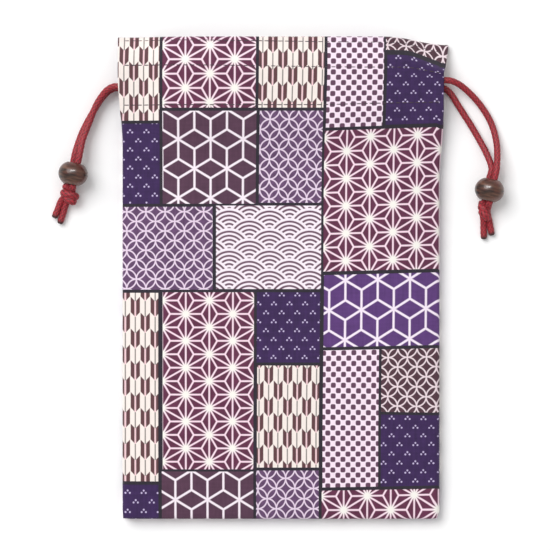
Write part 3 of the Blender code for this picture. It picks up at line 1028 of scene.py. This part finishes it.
# Each knot's turns, from the bead down: distance from the knot's middle towards the bead, radius, shift to
# the right, and slope in degrees, where a positive slope has its right side nearer the tails
KNOT_TURNS = {
    -1: ((3.4, 1.6, -0.7, 2), (0.1, 2.9, 0.3, 5), (-2.3, 1.5, 1.0, 14)),
    1: ((3.0, 0.9, -1.4, 10), (0.7, 1.4, -0.5, 30), (-1.7, 1.5, 0.3, 35)),
}
TURN_WIDTH = 3.8
TURN_FLATNESS = 0.72
TURN_POINTS, TURN_FIRST, TURN_ANGLE = 13, -200, 33
# Where both strands come in and meet: distance from the knot's middle towards the bead, to each side, and up
KNOT_ENTRY = (2.2, 1.2, 0.4)
KNOT_MEETING = (0.0, 1.3, -0.2)
# Where the tails leave it: towards the bead, up, and to the right for each tail
TAIL_LEAVE_ALONG, TAIL_LEAVE_RISE = -3.6, -1.6
TAIL_LEAVE = {-1: (-3.2, -0.4), 1: (0.2, 3.0)}
TAIL_SAG = 0.3
STRAIGHT_PAST_BEAD = 0.7


def make_knot(side, material):
    """Two strands wound round themselves, and the two cut tails that come out below."""
    up = Vector((0, 0, 1))
    reach = BEAD_LENGTH / 2
    middle = Vector((*BEAD_PLACE[side], 0)) - AXIS * (reach + GAP + KNOT_LENGTH / 2) + up * KNOT_HEIGHT / 2
    pieces = []

    def spot(along, right, rise):
        return middle + AXIS * along + ACROSS * right + up * rise

    def add(kind, number, points, **form):
        name = f"knot_{SIDES[side]}_{kind}_{number + 1}"
        pieces.append(braided_cord(name, smooth_route(points, CORD_STEP), material, **form))

    for number, strand in enumerate((-1, 1)):
        core = [bead_point(side, -reach, strand), bead_point(side, -reach - STRAIGHT_PAST_BEAD, strand)]
        core += [spot(along, strand * out, rise) for along, out, rise in (KNOT_ENTRY, KNOT_MEETING)]
        end = Vector((*TAIL_ENDS[side][number], CORD / 2))
        leave = spot(TAIL_LEAVE_ALONG, TAIL_LEAVE[side][number], TAIL_LEAVE_RISE)
        tail = [leave, leave.lerp(end, 0.5) - up * TAIL_SAG, end]
        add("core", number, core + tail, melted_end=True, joined=True)
    for number, (along, radius, shift, slope) in enumerate(KNOT_TURNS[side]):
        turn = []
        for step in range(TURN_POINTS):
            angle = radians(TURN_FIRST + TURN_ANGLE * step)
            out = cos(angle) * radius
            slide = along - tan(radians(slope)) * out
            turn.append(spot(slide, shift + out, sin(angle) * radius * TURN_FLATNESS))
        add("turn", number, turn, width=TURN_WIDTH)
    return pieces


def make_cords(side, material):
    """Both free strands of one side, and the run inside the channels that joins them."""
    word = SIDES[side]
    half = BEAD_LENGTH / 2
    straight = (-half, 0, half, half + BEAD_TRAVEL + GAP)
    edge_x = side * (NOTCH_X + TURN_START)
    pieces = []
    strands = {
        "front": (1, FREE_FRONT[side], (edge_x, FRONT_CORD_Y[side], front_cord_height(edge_x))),
        "back": (-1, FREE_BACK[side], (edge_x, BACK_CORD_Y[side], BACK_CORD_HEIGHT)),
    }
    for place, (strand, free, root) in strands.items():
        in_bead = [bead_point(side, along, strand) for along in reversed(straight)]
        route = smooth_route([root, *free, *in_bead], CORD_STEP)
        piece = braided_cord(f"strand_{word}_{place}", route[::-1], material, joined=True)
        pieces.append((piece, route, to_world(root)))
    hidden = smooth_route(channel_points(side), RUN_STEP)
    return pieces, braided_cord(f"channel_run_{word}", hidden, material, around=RUN_AROUND)


# Beads

GRAIN_SCALE, GRAIN_STRETCH = 330.0, (0.35, 2.4, 0.5)
GRAIN_DEPTH, GRAIN_STRENGTH = 0.00015, 0.35
PATCH_SCALE, PATCH_STRETCH = 120.0, (1.0, 1.6, 1.0)
PATCH_SHARE = 0.75
COAT, COAT_ROUGHNESS = 0.3, 0.14
BEAD_STEPS, BEAD_AROUND = 28, 96
SHARP_FROM = 60


def wood_material():
    """Polished dark wood with streaks that run round the bead."""
    surface = Surface("bead_wood", 0.34, gloss=0.3)
    surface.shader.inputs["Coat Weight"].default_value = COAT
    surface.shader.inputs["Coat Roughness"].default_value = COAT_ROUGHNESS
    grain = surface.mottling(GRAIN_SCALE, 6.0, GRAIN_STRETCH)
    patch = surface.mottling(PATCH_SCALE, 2.0, PATCH_STRETCH)
    base = surface.blend(linear("#231a17"), linear("#6f4c3d"), grain.contrast(0.36, 3.4))
    surface.bump(grain, GRAIN_DEPTH, GRAIN_STRENGTH)
    return surface.paint(surface.blend(base, linear("#63271c"), patch.contrast(0.46, 4.0) * PATCH_SHARE))


def make_bead(side, material):
    """A turned bead: round outside, with a straight hole whose lips are eased."""
    bore, radius, half = BEAD_BORE / 2, BEAD_WIDTH / 2, BEAD_LENGTH / 2
    widest = acos((bore + BEAD_LIP) / radius)
    outline = [(bore, -half + BEAD_LIP)]
    for step in range(BEAD_STEPS + 1):
        angle = mix(-widest, widest, step / BEAD_STEPS)
        outline.append((radius * cos(angle), half * sin(angle) / sin(widest)))
    outline.append((bore, half - BEAD_LIP))
    mesh = bmesh.new()
    loop = [mesh.verts.new((x * MM, y * MM, 0)) for x, y in outline]
    edges_made = [mesh.edges.new((loop[i], loop[i - 1])) for i in range(len(loop))]
    bmesh.ops.spin(mesh, geom=loop + edges_made, axis=(0, 1, 0), cent=(0, 0, 0), angle=2 * pi,
                   steps=BEAD_AROUND, use_merge=True)
    bmesh.ops.remove_doubles(mesh, verts=mesh.verts, dist=GAP * MM / 100)
    bmesh.ops.recalc_face_normals(mesh, faces=mesh.faces)
    bead = add_mesh(f"wood_bead_{SIDES[side]}", mesh, [material])
    bead.data.shade_smooth()
    bead.data.set_sharp_from_angle(angle=radians(SHARP_FROM))
    bead.location = to_world((*BEAD_PLACE[side], radius))
    bead.rotation_euler = (0, 0, -radians(BEAD_TURN))
    return bead


# Stitching

STITCH = 2.6
STITCH_SPACE = 0.5
STITCH_INSET = 0.8
STITCH_PARTS, STITCH_AROUND = 5, 6
THREAD_WIDTH = 0.44


def thread_material():
    surface = Surface("sewing_thread", 0.8)
    return surface.paint(surface.blend(linear("#2c2028"), linear("#54404c"), surface.mottling(900.0)))


def make_stitches(name, facing, material):
    """The three lines of stitching across a panel, each stitch a short rounded thread on the cloth."""
    panel = Panel(facing)
    mesh = bmesh.new()
    for line in (EDGE_STITCH, UPPER_STITCH, LOWER_STITCH):
        x = -HALF + STITCH_INSET
        while x + STITCH < HALF + STITCH_INSET:
            rings = []
            for step in range(STITCH_PARTS + 1):
                share = step / STITCH_PARTS
                spot_x = x + STITCH * share
                line_y = stitch_y(line, spot_x)
                y = panel.settle(spot_x, line_y)
                swell = sqrt(max(0.0, 1 - (2 * share - 1) ** 4))
                lift = THREAD_WIDTH * (0.35 * swell - 0.25)
                z = panel.outer(spot_x, line_y) + facing * (CLOTH / 2 + lift)
                if facing < 0:
                    z = max(z, THREAD_WIDTH * 0.2)
                middle = Vector((spot_x + panel.shift(spot_x, line_y), y, z))
                radius = THREAD_WIDTH / 2 * max(swell, 0.3)
                ring = []
                for turn in range(STITCH_AROUND):
                    angle = 2 * pi * turn / STITCH_AROUND
                    offset = Vector((0, cos(angle), sin(angle))) * radius
                    ring.append(mesh.verts.new(to_world(middle + offset)))
                rings.append(ring)
            add_tube(mesh, rings)
            x += STITCH + STITCH_SPACE
    bmesh.ops.recalc_face_normals(mesh, faces=mesh.faces)
    return add_mesh(name, mesh, [material])


# Floor, lights and camera

FLOOR_CLEARANCE = 0.0002
FLOOR_REACH = 2.0
WHITE = (1, 1, 1, 1)
CAMERA_HEIGHT = 1.6
SENSOR_WIDTH = 36.0
NEAREST_SEEN = 0.05
FOCUS_HEIGHT = 0.006
SKY_LEVEL = 0.6
KEY_LEVEL = 0.5
KEY_TILT = 39.0
KEY_ACROSS = 0.707
KEY_SOFTNESS = 42.0
STRIP_PLACE = (-0.06, 0.52, 0.82)
STRIP_SIZE = (0.62, 0.07)
STRIP_POWER = 9.0


def aim_light(thing, direction):
    thing.rotation_euler = direction.to_track_quat("-Z", "Y").to_euler()


def make_stage():
    """A white floor, an even sky, and a soft key light from above the upper left."""
    surface = Surface("white_floor", 0.9, gloss=0.0)
    surface.shader.inputs["Base Color"].default_value = WHITE
    mesh = bmesh.new()
    corners = ((-1, -1), (1, -1), (1, 1), (-1, 1))
    mesh.faces.new([mesh.verts.new((x * FLOOR_REACH, y * FLOOR_REACH, -FLOOR_CLEARANCE)) for x, y in corners])
    floor = add_mesh("floor", mesh, [surface.material])

    world = bpy.data.worlds.new("soft light")
    bpy.context.scene.world = world
    world.use_nodes = True
    sky = world.node_tree.nodes["Background"]
    sky.inputs["Strength"].default_value = SKY_LEVEL
    sky.inputs["Color"].default_value = WHITE

    tilt = radians(KEY_TILT)
    key = bpy.data.lights.new("key", "SUN")
    key.energy = pi * KEY_LEVEL / cos(tilt)
    key.angle = radians(KEY_SOFTNESS)
    aim_light(add_object("key", key), Vector((KEY_ACROSS, -KEY_ACROSS, -1 / tan(tilt))))


def make_strip_light():
    """A long lamp that only polished pieces mirror."""
    strip = bpy.data.lights.new("strip", "AREA")
    strip.shape = "RECTANGLE"
    strip.size, strip.size_y = STRIP_SIZE
    strip.energy = STRIP_POWER
    thing = add_object("strip", strip)
    thing.location = STRIP_PLACE
    aim_light(thing, -Vector(STRIP_PLACE))
    thing.visible_diffuse = False


def make_camera():
    camera = bpy.data.cameras.new("camera")
    thing = add_object("camera", camera)
    middle = px_to_mm(PHOTO_SIZE / 2, PHOTO_SIZE / 2)
    thing.location = to_world((*middle, 0)) + Vector((0, 0, CAMERA_HEIGHT))
    width = PHOTO_SIZE * PIXEL_MM * MM
    camera.sensor_fit = "HORIZONTAL"
    camera.sensor_width = SENSOR_WIDTH
    camera.lens = SENSOR_WIDTH * (CAMERA_HEIGHT - FOCUS_HEIGHT) / width
    camera.clip_start = NEAREST_SEEN
    bpy.context.scene.camera = thing


def main():
    bpy.context.scene.view_settings.view_transform = "Standard"
    make_camera()
    make_stage()
    make_strip_light()
    cloths = print_materials()
    thread = thread_material()
    red = cord_material()
    wood = wood_material()

    for name, facing in (("front", 1), ("back", -1)):
        sheet = make_cloth(f"{name}_cloth", facing, cloths)
        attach(sheet, "bag")
        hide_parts(f"{name}_panel")
        stitches = make_stitches(f"{name}_stitches", facing, thread)
        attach(stitches, "bag")

    for side, word in SIDES.items():
        bead = make_bead(side, wood)
        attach(bead, f"{word}_bead")
        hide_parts(f"bead_{word}")
        knot = make_knot(side, red)
        for piece in knot:
            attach(piece, "bag")
            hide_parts(f"knot_{word}")
        strands, run = make_cords(side, red)
        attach(run, "bag")
        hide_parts(f"drawstring_{word}")
        for piece, route, exit_point in strands:
            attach(piece, "bag")
            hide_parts(f"drawstring_{word}")
            true_length = route_length(route) * MM
            stride = ceil(len(route) / PATH_POINTS)
            path = [to_world(point) for point in route[:-1:stride] + [route[-1]]]
            [bead] + knot


main()
